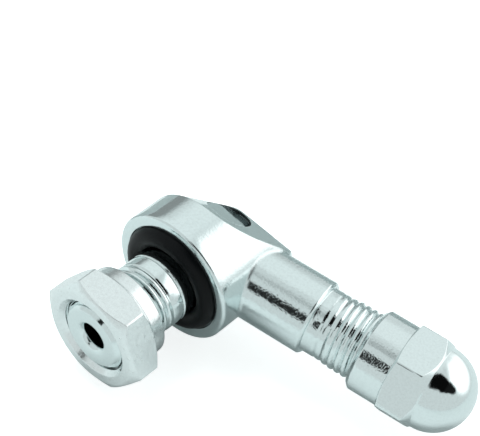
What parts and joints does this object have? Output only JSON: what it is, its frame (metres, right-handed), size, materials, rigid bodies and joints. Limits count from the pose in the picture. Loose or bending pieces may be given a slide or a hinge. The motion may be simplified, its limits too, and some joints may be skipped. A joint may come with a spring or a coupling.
{
  "type": "angled tyre valve",
  "caption": "Chromed angled clamp-in tyre valve with rim seal, collared hex nut, domed hex cap and a sprung valve core that a pin opens.",
  "frame": {"origin": "centre of the rim seat under the head, on the spigot's axis", "axes": "-Y along the spigot away from the seat, toward the rim nut; +X the way the arm leaves, in the plane of both axes; +Z square to that plane, up as the valve lies on its side"},
  "size_m": [0.0395, 0.0271, 0.015],
  "materials": {
    "plated_body": "bright chrome plate over a forged body",
    "plated_nut": "satin chrome plate",
    "plated_cap": "bright chrome plate",
    "seal_rubber": "moulded black rubber",
    "gasket_rubber": "cut sheet rubber",
    "core_brass": "turned brass",
    "packing_polymer": "moulded sealing polymer",
    "spring_steel": "drawn wire"
  },
  "bodies": {
    "elbow": {"elbow_body": "plated_body", "rim_seal_ring": "seal_rubber", "core_swivel": "core_brass", "core_barrel": "core_brass", "core_packing": "packing_polymer", "core_spring": "spring_steel"},
    "nut": {"rim_nut": "plated_nut"},
    "cap_carrier": {"cap_gasket": "gasket_rubber"},
    "cap": {"cap_shell": "plated_cap"},
    "core_plunger": {"core_pin": "core_brass", "core_spring_cup": "spring_steel", "core_plunger_seal": "seal_rubber", "core_plunger_cup": "core_brass"}
  },
  "joints": [
    {"name": "nut_travel", "type": "slide", "parent": "elbow", "child": "nut", "axis": [0, 1, 0], "range_m": [-0.007, 0.005]},
    {"name": "cap_travel", "type": "slide", "parent": "elbow", "child": "cap_carrier", "axis": [0.9848, 0.1736, 0], "range_m": [0, 0.0079]},
    {"name": "cap_turn", "type": "hinge", "parent": "cap_carrier", "child": "cap", "pos_m": [0, 0.00545, 0], "axis": [0.9848, 0.1736, 0], "range_deg": [0, 3600]},
    {"name": "pin_press", "type": "slide", "parent": "elbow", "child": "core_plunger", "axis": [-0.9848, -0.1736, 0], "range_m": [0, 0.0015], "stiffness_N_per_m": 1500, "springref_m": -0.001, "deforming": ["core_spring"]}
  ],
  "couplings": [
    {"joint": "cap_turn", "follows": "cap_travel", "rad_per_m": 7913.3}
  ]
}
